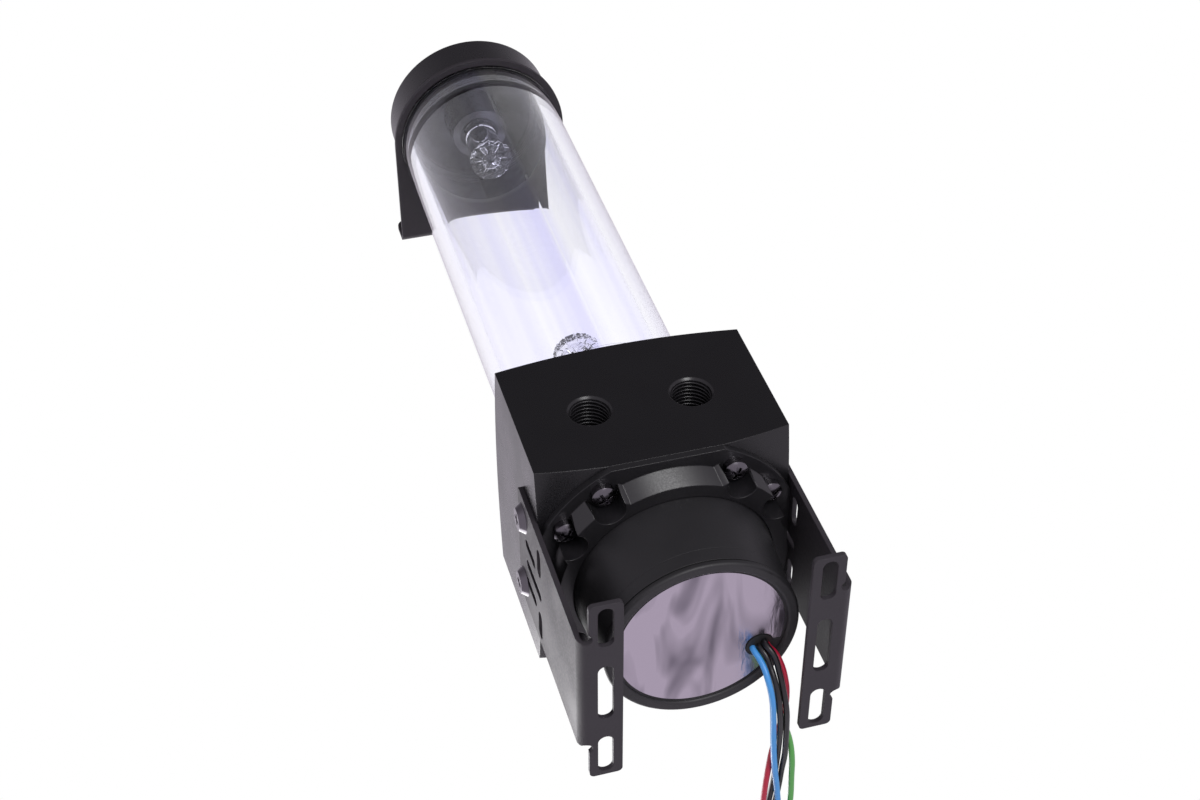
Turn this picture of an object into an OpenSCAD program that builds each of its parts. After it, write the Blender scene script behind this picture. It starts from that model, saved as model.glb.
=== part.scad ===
// Coolant pump with a tube reservoir on it, as used in a liquid-cooled rack or workstation.
// Z points up. Z = 0 is the face the two feet stand on, and the tube, pump and cap share the Z axis.
// +X is the side with the two ports, -X the side the leads and the upper bracket point to.

/* [Pump top] */
// Side of the square block
block_w = 75; // [60:0.5:90]
// Height of its lower face
block_z = 47.5; // [40:0.1:60]
// Height of its upper face
block_top = 99.4; // [80:0.1:120]
// Distance of each port from the middle
port_y = 15.3; // [12:0.1:20]
// Height of the ports
port_z = 72; // [60:0.5:85]
// Wall radius of a G1/4 port
port_r = 5.9; // [5:0.05:7]
// Depth of a port
port_depth = 14; // [8:0.5:18]

/* [Reservoir tube] */
// Outer radius of the tube
tube_r = 30; // [20:0.5:40]
// Bore radius of the tube
tube_bore_r = 25; // [15:0.5:37]
// Height of its upper end
tube_top = 278.8; // [180:0.1:400]
// Radius of the wide stretch at each end
socket_r = 28; // [20:0.1:38]
// Depth of the wide stretch
socket_depth = 9.4; // [6:0.1:14]

/* [Cap] */
// Radius of the cap
cap_r = 30.6; // [25:0.1:40]
// Height of the cap above the bracket's plate
cap_h = 16.7; // [10:0.1:40]
// Thickness of the cap's roof
cap_roof_t = 6; // [4:0.1:9]
// How far the threaded boss hangs below the roof
cap_boss_h = 15; // [8:0.1:18]
// Length of the nozzle below the boss
cap_nozzle_l = 19.5; // [10:0.1:40]
// Length of the riser above the boss on the pump top
riser_l = 40.4; // [15:0.1:100]

/* [Clamp ring] */
// Radius of its thin flange
ring_flange_r = 41; // [38:0.1:45]
// Lower face of the thin flange
ring_flange_z = 45.4; // [43:0.1:46.5]
// Lower face of the ring
ring_z = 37.1; // [33:0.1:42]
// Wall radius facing the block's sides
ring_side_r = 34.4; // [32:0.1:37]
// Wall radius at the block's corners
ring_corner_r = 37.3; // [35:0.1:40]
// Radius of the circle the screws stand on
screw_circle_r = 36; // [34:0.1:38]
// Angle of each screw from the block's diagonal
screw_off_angle = 12.5; // [8:0.5:20]

/* [Pump] */
// Radius of the pump can under the ring
can_r = 30; // [28:0.1:32]
// Radius of the can at its lower seam
can_seam_r = 28.5; // [27:0.1:30]
// Height of the seam
can_seam_z = 18; // [14:0.5:24]
// Lowest point of the pump
pump_z = 11.3; // [8:0.1:14]
// Radius of the foil disc
foil_r = 24.5; // [20:0.5:25]

/* [Feet] */
// Thickness of the folded sheet
sheet_t = 1.5; // [1:0.1:2.5]
// Half the length of the upright plate
foot_half = 20.8; // [15:0.1:30]
// Height of the upright plate
foot_top = 64.9; // [55:0.1:75]
// Half the length of the base strip
strip_half = 34.1; // [25:0.1:40]
// Inner edge of the base strip
strip_in = 26.4; // [20:0.1:30]
// Middle of the slots, from the axis
slot_y = 31.3; // [28:0.1:34]
// Middle of the end slots, from the middle
slot_x = 25.4; // [20:0.1:30]
// Width of a slot
slot_w = 4.5; // [3:0.1:6]
// Length of an end slot
slot_end_l = 14.5; // [8:0.5:18]
// Length of the middle slot
slot_mid_l = 21; // [10:0.5:24]

/* [Upper bracket] */
// Radius of its round end, and half its width
bracket_r = 32.3; // [30:0.1:40]
// Reach of its flange behind the axis
bracket_back = 43.1; // [38:0.1:60]
// Height of the flange above the end of the tube
bracket_flange_h = 13.2; // [8:0.1:30]

/* [Leads] */
// Diameter of one lead
lead_d = 1.8; // [1.2:0.1:3]

/* [Hidden] */
$fn = 96;

cut = 1;                      // how far a cut runs past the face it opens
half_w = block_w / 2;

// The block's upper and lower faces are flat in the middle and fall away as part of a ball.
top_dome_r = 235;
top_flat_r = 35;
top_dome_z = block_top - sqrt(top_dome_r * top_dome_r - top_flat_r * top_flat_r);
low_dome_r = 195;
low_dome_z = block_z + sqrt(low_dome_r * low_dome_r - ring_flange_r * ring_flange_r);

// Water ways in the block
flange_seat_r = 32.1;
flange_seat_top = 50.4;
volute_r = 22;
volute_top = 58;
eye_r = 6;
inlet_chamber_r = 17;
inlet_chamber_z = 62;
inlet_chamber_top = 70;
floor_r = 24;
floor_z = 96;
drain_r = 3.5;
drain_circle_r = 14;
way_r = 4;
port_chamfer = 0.7;
in_way_start = [half_w - port_depth - cut, port_y, port_z];
in_way_end = [0, 0, 91];
out_way_start = [half_w - port_depth - cut, -port_y, port_z];
out_way_end = [9, -18.5, 55];

// Threaded ends: a screw thread of shallow ridges and a groove for a round seal
spigot_r = 27.9;
thread_root_r = 27.1;
thread_pitch = 1.3;
thread_turns = 4;
spigot_l = 9.2;
seal_groove_r = 26.2;
seal_groove_l = 2.2;
tube_seal_minor = 0.85;
tube_seal_major = seal_groove_r + tube_seal_minor;

// Nozzles: a hollow stem with a faceted disc at its tip
boss_r = 10;
boss_h = 5;
stem_r = 6;
shank_r = 5.85;
shank_l = 5;
nozzle_bore_r = 3.4;
nozzle_disc_r = 7.6;
nozzle_disc_l = 3;
nozzle_skin = 0.9;
nozzle_facets = 12;
hex_key_r = 4.6;
riser_tip = floor_z + boss_h + riser_l;

// Cap details
edge_chamfer = 0.8;
cap_inner_r = 25;
cap_top = tube_top + sheet_t + cap_h;
cap_ceiling = cap_top - cap_roof_t;
cap_boss_z = cap_ceiling - cap_boss_h;
cap_boss_chamfer = 1.2;
nozzle_tip = cap_boss_z - cap_nozzle_l;
plug_head_r = 9;
plug_head_h = 3.2;
plug_head_z = cap_top + 0.3;
plug_head_top = plug_head_z + plug_head_h;
plug_shank_z = cap_top - 8;
plug_seal_minor = 0.75;
plug_seal_major = 7.4;
plug_key_r = 3.6;
plug_key_depth = 3.4;

// Pump details
ring_bore_r = 30.2;
flange_r = 32;
flange_z = 45.8;
flange_top = 48.6;
can_taper_z = 37;
can_bore_r = 26.3;
can_roof_z = 46.2;
cup_centre_z = 50;
cup_out_r = 15.6;
cup_in_r = 15;
cup_flange_r = 28.5;
cup_flange_t = 0.4;
can_mouth_r = 16.2;
pump_seal_minor = 0.9;
pump_seal_major = 30.5;
ball_r = 3;
post_r = 1.6;
rotor_r = 14.4;
rotor_low = 13;
rotor_hole_r = 4.2;
ball_gap = 0.1;
impeller_r = 17.5;
impeller_z = 50.6;
impeller_disc_t = 1.4;
hub_r = 4.8;
hub_top = 54.6;
vane_top = 56;
shroud_top = 57;
vane_count = 6;
rim_out_r = 28.6;
rim_in_r = 25.2;
rim_round = 0.9;
label_z = 12.3;
label_t = 0.15;
cover_floor_top = 15;
cover_wall_in_r = 24.5;
cover_spigot_top = 20;
board_t = 1.6;
stator_z = 26;
stator_base_t = 4;
stator_hole_r = 5;
tooth_r = 3.2;
tooth_circle_r = 17;
tooth_top = 44;
tooth_count = 6;
winding_r = 6.8;
winding_z = 30.6;
winding_top = 37.2;
cup_clear_r = 16.1;
grommet_x = -8;
grommet_y = 17.4;
grommet_r = 4;
grommet_z = 11.9;
bare_from = 103;              // the foil leaves a bare sector between these angles
bare_to = 135;

// Screws
pan_r = 3.5;
pan_h = 3.6;
pan_ball_r = 5.2;
pocket_r = 4.65;
ring_screw_r = 1.5;
ring_screw_top = 57;
foot_screw_r = 2;
foot_screw_l = 9;
foot_screw_x = 12.8;
foot_screw_z = 59.4;
foot_head_r = 4.75;
foot_head_h = 1.9;
cross_w = 0.9;
cross_l = 4.2;
cross_depth = 1.5;

// Folded sheet
bend_in_r = 1.5;
bend_out_r = bend_in_r + sheet_t;
bend_y = half_w + sheet_t - bend_out_r;
relief_r = 1.8;
relief_x = 22;
slit_w = 3;
strip_corner_r = 1.5;
// Upright slits as [x, lower end, upper end], level slots as [x of each end, height]
slits = [[6, 46, 57], [-1.3, 39.6, 56], [-9, 45.5, 56.7]];
level_slots = [[6.5, 16.5, 41.5], [-18.5, -8.5, 41.5]];
level_slot_w = 4;
flange_slot_y = 18;
bracket_top = tube_top + bracket_flange_h;
flange_slot_z = bracket_top - 5.4;
flange_corner_r = 4;
bracket_hole_r = 28.2;

// Leads: each leaves the grommet, lies on the floor, is wound up and ends in a plug
lead_r = lead_d / 2;
lead_sides = 8;
coil_x = -105;
power_coil_y = 4.5;
signal_coil_y = 36.5;
coil_r = 14;
coil_h = 6;
coil_step = 6.3;              // from one lead's turns up to the next lead's, which lie on them
coil_end_z = 5;
power_plug_y = -12;
power_plug_x = -116;
power_plug_size = [21, 18, 9];
power_pin_pitch = 5.08;
power_pin_r = 1.05;
power_pin_out = 8;
signal_plug_y = 51.5;
signal_plug_x = -117;
signal_plug_size = [10.2, 12, 5.8];
signal_pin_pitch = 2.54;

red_route = [
    [-8.2, 19.6, 11.9], [-8.2, 19.6, 10.9], [-9.5, 20.6, 9.5], [-12, 21.4, 7.4], [-17, 22.3, 5.4],
    [-23.3, 23, 4.8], [-29.8, 23.1, 4.9], [-36.2, 22.6, 4.9], [-41.6, 21.7, 4.8], [-47.4, 20.3, 4.1],
    [-53, 18.9, 2.4], [-60, 17.8, 1.1], [-70, 17.6, 1], [-86, 18.1, 1], [-105, 18.5, 1]
];
power_black_route = [
    [-7.9, 17.1, 11.9], [-7.9, 17.1, 10.9], [-9.1, 18.1, 8.4], [-11.8, 18.8, 6.2], [-14.4, 19.2, 3.6],
    [-19, 19.8, 1.6], [-25, 20.5, 1], [-32, 21.1, 1], [-39, 21.4, 1.7], [-46, 21.7, 2.7],
    [-55, 21.4, 3], [-64, 20.5, 2.8], [-74, 19.4, 3.2], [-84, 18.7, 5.4], [-95, 18.5, 7.3],
    [-105, 18.5, 7.3]
];
signal_black_route = [
    [-6.4, 18.6, 11.9], [-6.4, 18.6, 10], [-8.2, 20, 7.4], [-13, 21, 4.8], [-18.8, 21.7, 2.2],
    [-25, 22.5, 1], [-32, 23, 1], [-39, 23.2, 1], [-46, 23.4, 1.5], [-54, 23.4, 2.8],
    [-62, 22.9, 2.9], [-70, 22.1, 3.2], [-77, 21.8, 5.6], [-84, 21.9, 9.6], [-91, 22.3, 12.9],
    [-97, 22.5, 13.6], [-105, 22.5, 13.6]
];
blue_route = [
    [-8.4, 15.2, 11.9], [-8.4, 15.2, 10.9], [-9.4, 16, 8.4], [-11, 16.7, 5.6], [-13.8, 17.1, 2.8],
    [-18.6, 17.8, 1.1], [-27.4, 18.7, 1], [-38.8, 19.4, 1], [-50, 20.4, 1], [-62, 21.9, 1],
    [-74, 22.9, 1], [-82, 22.9, 2.6], [-90, 22.6, 6], [-97, 22.5, 7.3], [-105, 22.5, 7.3]
];
green_route = [
    [-10, 17.6, 11.9], [-10, 17.6, 10.9], [-12, 17.9, 8.6], [-15.2, 18.4, 6.2], [-20, 19.2, 4],
    [-27, 21, 2.9], [-34, 23.1, 3], [-40.5, 24.9, 2.4], [-47, 25.6, 1.2], [-56, 26, 1],
    [-66, 26.3, 1], [-76, 25.9, 1], [-86, 24.4, 1], [-96, 22.9, 1], [-105, 22.5, 1]
];

// A round bore from one point to another
module bore_between(a, b, r) {
    d = b - a;
    h = norm(d);
    translate(a)
        rotate([0, acos(d[2] / h), atan2(d[1], d[0])])
            cylinder(r = r, h = h);
}

// A flat slot with round ends, centred, along X
module slot_shape(length, width) {
    straight = length - width;
    square([straight, width], center = true);
    for (side = [-1, 1])
        translate([side * straight / 2, 0]) circle(d = width);
}

// A rectangle with round corners, from its lowest corner
module round_rectangle(low, high, r) {
    translate([low[0] + r, low[1]]) square([high[0] - low[0] - 2 * r, high[1] - low[1]]);
    translate([low[0], low[1] + r]) square([high[0] - low[0], high[1] - low[1] - 2 * r]);
    for (x = [low[0] + r, high[0] - r], y = [low[1] + r, high[1] - r])
        translate([x, y]) circle(r = r);
}

// Half section of a threaded spigot standing on z = 0, with a seal groove at its foot
function spigot_points(inner_r) = concat(
    [[inner_r, 0], [seal_groove_r, 0], [seal_groove_r, seal_groove_l], [spigot_r, seal_groove_l]],
    [for (turn = [0:thread_turns - 1], step = [0:2])
        let (z = seal_groove_l + 0.9 + turn * thread_pitch)
        step == 0 ? [spigot_r, z]
        : step == 1 ? [thread_root_r, z + thread_pitch * 0.45]
        : [spigot_r, z + thread_pitch * 0.9]],
    [[spigot_r, spigot_l - 0.6], [spigot_r - 0.6, spigot_l], [inner_r, spigot_l]]
);

module spigot(inner_r) {
    rotate_extrude() polygon(spigot_points(inner_r));
}

module ring_seal(major, minor, z) {
    translate([0, 0, z]) rotate_extrude() translate([major, 0]) circle(r = minor, $fn = 32);
}

// Cross recess of a screw head whose face lies at z = 0, cut towards +Z
module cross_recess() {
    for (turn = [0, 90])
        rotate([0, 0, turn])
            translate([-cross_l / 2, -cross_w / 2, -cut]) cube([cross_l, cross_w, cross_depth + cut]);
}

module pump_top() {
    color("dimgray") {
        difference() {
            intersection() {
                translate([-half_w, -half_w, block_z]) cube([block_w, block_w, block_top - block_z]);
                translate([0, 0, top_dome_z]) sphere(r = top_dome_r, $fn = 180);
                translate([0, 0, low_dome_z]) sphere(r = low_dome_r, $fn = 180);
            }
            block_water_ways();
            for (quarter = [45:90:315], side = [-1, 1])
                rotate([0, 0, quarter + side * screw_off_angle])
                    translate([screw_circle_r, 0, block_z - cut])
                        cylinder(r = ring_screw_r, h = ring_screw_top - block_z + 2 * cut);
            for (side = [-1, 1], x = [-foot_screw_x, foot_screw_x])
                translate([x, side * (half_w + cut), foot_screw_z])
                    rotate([side * 90, 0, 0])
                        cylinder(r = foot_screw_r, h = foot_screw_l + 2 * cut);
        }
        translate([0, 0, block_top]) spigot(floor_r);
    }
}

module block_water_ways() {
    translate([0, 0, block_z - cut]) cylinder(r = flange_seat_r, h = flange_seat_top - block_z + cut);
    translate([0, 0, flange_seat_top - cut]) cylinder(r = volute_r, h = volute_top - flange_seat_top + cut);
    translate([0, 0, volute_top - cut]) cylinder(r = eye_r, h = inlet_chamber_z - volute_top + 2 * cut);
    translate([0, 0, inlet_chamber_z])
        cylinder(r = inlet_chamber_r, h = inlet_chamber_top - inlet_chamber_z);
    for (angle = [105, 195, 285])
        rotate([0, 0, angle])
            translate([drain_circle_r, 0, inlet_chamber_top - cut])
                cylinder(r = drain_r, h = floor_z - inlet_chamber_top + 2 * cut);
    difference() {
        translate([0, 0, floor_z]) cylinder(r = floor_r, h = block_top - floor_z + cut);
        translate([0, 0, floor_z - cut]) cylinder(r = boss_r, h = boss_h + cut);
    }
    translate([0, 0, in_way_end[2] - 2]) cylinder(r = shank_r, h = boss_h + floor_z - in_way_end[2] + 3);
    bore_between(in_way_start, in_way_end, way_r);
    bore_between(out_way_start, out_way_end, way_r);
    for (side = [-1, 1])
        translate([half_w, side * port_y, port_z]) rotate([0, -90, 0]) {
            cylinder(r = port_r, h = port_depth);
            translate([0, 0, -cut])
                cylinder(r1 = port_r + port_chamfer + cut, r2 = port_r, h = port_chamfer + cut);
        }
}

module reservoir_tube() {
    color("lavender", 0.4)
        rotate_extrude()
            polygon([
                [socket_r, block_top], [tube_r, block_top], [tube_r, tube_top], [socket_r, tube_top],
                [socket_r, tube_top - socket_depth], [tube_bore_r, tube_top - socket_depth],
                [tube_bore_r, block_top + socket_depth], [socket_r, block_top + socket_depth]
            ]);
}

module lower_tube_seal() {
    color("black") ring_seal(tube_seal_major, tube_seal_minor, block_top + seal_groove_l / 2);
}

// A clear nozzle, hanging: its shank goes up into a boss and its faceted disc is the lowest part
module hanging_nozzle(tip_z, boss_z) {
    difference() {
        union() {
            translate([0, 0, tip_z + nozzle_disc_l])
                cylinder(r = stem_r, h = boss_z - tip_z - nozzle_disc_l);
            translate([0, 0, boss_z]) cylinder(r = shank_r, h = shank_l);
            translate([0, 0, tip_z])
                cylinder(r = nozzle_disc_r, h = nozzle_disc_l, $fn = nozzle_facets);
        }
        translate([0, 0, tip_z + nozzle_skin])
            cylinder(r = nozzle_bore_r, h = boss_z - tip_z + shank_l);
        translate([0, 0, boss_z - 2]) cylinder(r = hex_key_r, h = shank_l + 3, $fn = 6);
        translate([0, 0, tip_z - cut]) cylinder(r = 0.9, h = nozzle_skin + 2 * cut);
        for (angle = [0:30:150])
            rotate([0, 0, angle])
                translate([-nozzle_disc_r - cut, -0.35, tip_z - cut])
                    cube([2 * (nozzle_disc_r + cut), 0.7, 0.5 + cut]);
        for (angle = [0:60:300])
            rotate([0, 0, angle + 30])
                translate([0, 0, tip_z + nozzle_disc_l + 2.2])
                    rotate([0, 90, 0]) cylinder(r = 1.2, h = stem_r + cut);
    }
}

module cap_nozzle() {
    color("white", 0.5) hanging_nozzle(nozzle_tip, cap_boss_z);
}

// The same part, longer and upside down, standing on the block's boss
module riser_nozzle() {
    color("white", 0.5)
        translate([0, 0, floor_z + boss_h + riser_tip])
            mirror([0, 0, 1]) hanging_nozzle(floor_z + boss_h, riser_tip);
}

module top_bracket() {
    color("dimgray") {
        difference() {
            union() {
                translate([0, 0, tube_top]) linear_extrude(sheet_t) bracket_plate_shape();
                translate([bend_out_r - bracket_back, 0, tube_top + bend_out_r])
                    rotate([90, 0, 0])
                        linear_extrude(2 * bracket_r, center = true) bend_shape();
            }
            translate([0, 0, tube_top - cut]) cylinder(r = bracket_hole_r, h = sheet_t + 2 * cut);
        }
        translate([sheet_t - bracket_back, 0, 0])
            rotate([90, 0, -90])
                linear_extrude(sheet_t)
                    difference() {
                        union() {
                            round_rectangle([-bracket_r, tube_top + bend_out_r], [bracket_r, bracket_top],
                                flange_corner_r);
                            translate([-bracket_r, tube_top + bend_out_r])
                                square([2 * bracket_r, bracket_top - tube_top - bend_out_r - flange_corner_r]);
                        }
                        for (side = [-1, 1])
                            translate([side * flange_slot_y, flange_slot_z]) slot_shape(slot_end_l, slot_w);
                    }
    }
}

module bracket_plate_shape() {
    circle(r = bracket_r);
    translate([bend_out_r - bracket_back, -bracket_r])
        square([bracket_back - bend_out_r, 2 * bracket_r]);
}

// Quarter of a bent sheet, with its corner towards -X and the lower side
module bend_shape() {
    intersection() {
        difference() {
            circle(r = bend_out_r);
            circle(r = bend_in_r);
        }
        translate([-bend_out_r, -bend_out_r]) square([bend_out_r, bend_out_r]);
    }
}

module top_cap() {
    color("dimgray") {
        rotate_extrude()
            polygon([
                [cap_inner_r, tube_top + sheet_t],
                [cap_r - edge_chamfer, tube_top + sheet_t], [cap_r, tube_top + sheet_t + edge_chamfer],
                [cap_r, cap_top - edge_chamfer], [cap_r - edge_chamfer, cap_top],
                [port_r + port_chamfer, cap_top], [port_r, cap_top - port_chamfer],
                [port_r, cap_boss_z + cap_boss_chamfer], [port_r + cap_boss_chamfer, cap_boss_z],
                [boss_r, cap_boss_z], [boss_r, cap_ceiling], [cap_inner_r, cap_ceiling]
            ]);
        rotate_extrude()
            polygon([
                [cap_inner_r, tube_top + sheet_t], [seal_groove_r, tube_top + sheet_t],
                [seal_groove_r, tube_top], [cap_inner_r, tube_top]
            ]);
        translate([0, 0, tube_top]) mirror([0, 0, 1]) spigot(cap_inner_r);
    }
}

module upper_tube_seal() {
    color("black") ring_seal(tube_seal_major, tube_seal_minor, tube_top - seal_groove_l / 2);
}

module fill_plug() {
    color("darkgray")
        difference() {
            rotate_extrude()
                polygon([
                    [0, plug_shank_z], [shank_r - 0.6, plug_shank_z], [shank_r, plug_shank_z + 0.6],
                    [shank_r, plug_head_z], [plug_seal_major - plug_seal_minor, plug_head_z],
                    [plug_seal_major - plug_seal_minor, cap_top + 2 * plug_seal_minor],
                    [plug_seal_major + plug_seal_minor, cap_top + 2 * plug_seal_minor],
                    [plug_seal_major + plug_seal_minor, plug_head_z],
                    [plug_head_r, plug_head_z], [plug_head_r, plug_head_top - 0.6],
                    [plug_head_r - 0.6, plug_head_top], [0, plug_head_top]
                ]);
            translate([0, 0, plug_head_top - plug_key_depth])
                cylinder(r = plug_key_r, h = plug_key_depth + cut, $fn = 6);
        }
}

module fill_plug_seal() {
    color("black") ring_seal(plug_seal_major, plug_seal_minor, cap_top + plug_seal_minor);
}

module clamp_ring() {
    color("dimgray")
        difference() {
            union() {
                translate([0, 0, ring_flange_z])
                    linear_extrude(block_z - ring_flange_z)
                        intersection() {
                            circle(r = ring_flange_r);
                            square(block_w, center = true);
                        }
                translate([0, 0, ring_z]) linear_extrude(ring_flange_z - ring_z) raised_ring_shape();
            }
            translate([0, 0, ring_z - cut]) cylinder(r = ring_bore_r, h = flange_z - ring_z + 2 * cut);
            translate([0, 0, flange_z]) cylinder(r = flange_seat_r, h = block_z - flange_z + cut);
            for (quarter = [45:90:315], side = [-1, 1])
                rotate([0, 0, quarter + side * screw_off_angle])
                    screw_pocket();
        }
}

module raised_ring_shape() {
    circle(r = ring_side_r);
    for (quarter = [45:90:315])
        intersection() {
            circle(r = ring_corner_r);
            rotate(quarter)
                polygon([[0, 0], [50 * cos(13), -50 * sin(13)], [50 * cos(13), 50 * sin(13)]]);
        }
    for (quarter = [45:90:315], side = [-1, 1])
        rotate(quarter + side * screw_off_angle)
            intersection() {
                translate([ring_side_r - 3, 0]) circle(r = pocket_r + 1.6);
                circle(r = ring_corner_r);
            }
}

module screw_pocket() {
    translate([screw_circle_r, 0, ring_z - cut]) cylinder(r = pocket_r, h = ring_flange_z - ring_z + cut);
    translate([screw_circle_r, -pocket_r, ring_z - cut])
        cube([pocket_r + 2, 2 * pocket_r, ring_flange_z - ring_z + cut]);
    translate([screw_circle_r, 0, ring_z]) cylinder(r = ring_screw_r, h = block_z - ring_z + cut);
}

module clamp_screws() {
    color("silver")
        for (quarter = [45:90:315], side = [-1, 1])
            rotate([0, 0, quarter + side * screw_off_angle])
                translate([screw_circle_r, 0, ring_flange_z]) {
                    cylinder(r = ring_screw_r, h = ring_screw_top - ring_flange_z);
                    pan_head();
                }
}

// A domed head hanging down from z = 0
module pan_head() {
    difference() {
        intersection() {
            translate([0, 0, -pan_h]) cylinder(r = pan_r, h = pan_h);
            translate([0, 0, pan_ball_r - pan_h]) sphere(r = pan_ball_r);
        }
        translate([0, 0, -pan_h]) cross_recess();
    }
}

module pump_can() {
    color("dimgray")
        rotate_extrude()
            polygon([
                [can_bore_r, can_seam_z], [can_seam_r, can_seam_z], [can_r, can_taper_z],
                [can_r, flange_z], [flange_r, flange_z], [flange_r, flange_top],
                [can_mouth_r, flange_top], [can_mouth_r, can_roof_z], [can_bore_r, can_roof_z]
            ]);
}

module bottom_cover() {
    color("dimgray")
        difference() {
            rotate_extrude() {
                polygon([
                    [0, label_z], [rim_in_r, label_z], [rim_in_r, pump_z + rim_round],
                    [rim_out_r, pump_z + rim_round], [rim_out_r, 13], [rim_out_r - 0.9, 13],
                    [rim_out_r - 0.9, 13.8], [rim_out_r - 0.4, 13.8], [can_seam_r, can_seam_z],
                    [can_bore_r, can_seam_z], [can_bore_r, cover_spigot_top],
                    [cover_wall_in_r, cover_spigot_top], [cover_wall_in_r, cover_floor_top],
                    [0, cover_floor_top]
                ]);
                for (r = [rim_in_r + rim_round, rim_out_r - rim_round])
                    translate([r, pump_z + rim_round]) circle(r = rim_round, $fn = 32);
                translate([rim_in_r + rim_round, pump_z])
                    square([rim_out_r - rim_in_r - 2 * rim_round, rim_round + 0.2]);
            }
            translate([grommet_x, grommet_y, pump_z]) cylinder(r = grommet_r, h = cover_floor_top);
        }
}

module foil_label() {
    color("silver")
        translate([0, 0, label_z - label_t])
            linear_extrude(label_t)
                difference() {
                    circle(r = foil_r);
                    polygon([
                        [grommet_x, grommet_y] * 0.8, [cos(bare_from), sin(bare_from)] * 30,
                        [cos(bare_to), sin(bare_to)] * 36
                    ]);
                    translate([grommet_x, grommet_y]) circle(r = grommet_r + 0.3);
                }
}

module pump_seal() {
    color("black") ring_seal(pump_seal_major, pump_seal_minor, flange_top + pump_seal_minor);
}

// The thin steel wall between the wet rotor and the dry windings, with the post its bearing ball sits on
module separation_cup() {
    color("silver") {
        difference() {
            union() {
                translate([0, 0, flange_top]) cylinder(r = cup_flange_r, h = cup_flange_t);
                intersection() {
                    translate([0, 0, cup_centre_z]) sphere(r = cup_out_r);
                    translate([0, 0, cup_centre_z - cup_out_r - cut])
                        cylinder(r = cup_out_r + cut, h = flange_top + cup_out_r + cut - cup_centre_z);
                }
            }
            translate([0, 0, cup_centre_z]) sphere(r = cup_in_r);
        }
        difference() {
            translate([0, 0, cup_centre_z - cup_in_r - 0.3])
                cylinder(r = post_r, h = cup_in_r + 0.3);
            translate([0, 0, cup_centre_z]) sphere(r = ball_r);
        }
    }
}

module bearing_ball() {
    color("white") translate([0, 0, cup_centre_z]) sphere(r = ball_r);
}

module rotor() {
    color("darkslategray")
        difference() {
            intersection() {
                translate([0, 0, cup_centre_z]) sphere(r = rotor_r);
                translate([0, 0, cup_centre_z - rotor_low])
                    cylinder(r = rotor_r + 1, h = impeller_z - cup_centre_z + rotor_low);
            }
            translate([0, 0, cup_centre_z - rotor_r]) cylinder(r = rotor_hole_r, h = rotor_r - 1);
            translate([0, 0, cup_centre_z]) sphere(r = ball_r + ball_gap);
        }
}

module impeller() {
    color("ivory") {
        difference() {
            translate([0, 0, impeller_z]) {
                cylinder(r = impeller_r, h = impeller_disc_t);
                cylinder(r = hub_r, h = hub_top - impeller_z);
            }
            translate([0, 0, cup_centre_z]) sphere(r = ball_r + ball_gap);
        }
        translate([0, 0, impeller_z + impeller_disc_t])
            linear_extrude(vane_top - impeller_z - impeller_disc_t)
                for (angle = [0:360 / vane_count:359]) rotate(angle) vane_shape();
        translate([0, 0, vane_top])
            difference() {
                cylinder(r = impeller_r, h = shroud_top - vane_top);
                translate([0, 0, -cut]) cylinder(r = eye_r, h = shroud_top - vane_top + 2 * cut);
            }
    }
}

// One curved vane, a stretch of a ring
module vane_shape() {
    intersection() {
        translate([6, -9])
            difference() {
                circle(r = 11.6);
                circle(r = 10.4);
            }
        difference() {
            circle(r = impeller_r - 0.2);
            circle(r = eye_r + 0.4);
        }
        square([20, 20]);
    }
}

module stator_core() {
    color("gray")
        difference() {
            union() {
                translate([0, 0, stator_z]) cylinder(r = can_bore_r, h = stator_base_t);
                for (angle = [0:360 / tooth_count:359])
                    rotate([0, 0, angle])
                        translate([tooth_circle_r, 0, stator_z]) cylinder(r = tooth_r, h = tooth_top - stator_z);
            }
            translate([0, 0, cup_centre_z]) sphere(r = cup_clear_r);
            translate([0, 0, stator_z - cut]) cylinder(r = stator_hole_r, h = stator_base_t + 2 * cut);
        }
}

module stator_coils() {
    color("orange")
        for (angle = [0:360 / tooth_count:359])
            rotate([0, 0, angle])
                translate([tooth_circle_r, 0, stator_z + stator_base_t])
                    difference() {
                        cylinder(r = winding_r, h = winding_top - stator_z - stator_base_t);
                        translate([0, 0, -cut]) cylinder(r = tooth_r, h = winding_top);
                    }
}

module circuit_board() {
    color("green") {
        translate([0, 0, cover_spigot_top]) cylinder(r = can_bore_r - 0.3, h = board_t);
        for (place = [[10, -8, 6, 6, 1.6], [-4, -14, 4, 9, 2], [-18, -4, 5, 5, 2.4], [8, 8, 8, 4, 1.8]])
            translate([place[0], place[1], cover_spigot_top - place[4]])
                cube([place[2], place[3], place[4]]);
        translate([-6, 2, cover_spigot_top + board_t]) cylinder(r = 3.2, h = 3);
    }
}

module lead_grommet() {
    color("black")
        translate([grommet_x, grommet_y, grommet_z])
            cylinder(r = grommet_r, h = cover_floor_top - grommet_z + 1);
}

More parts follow.
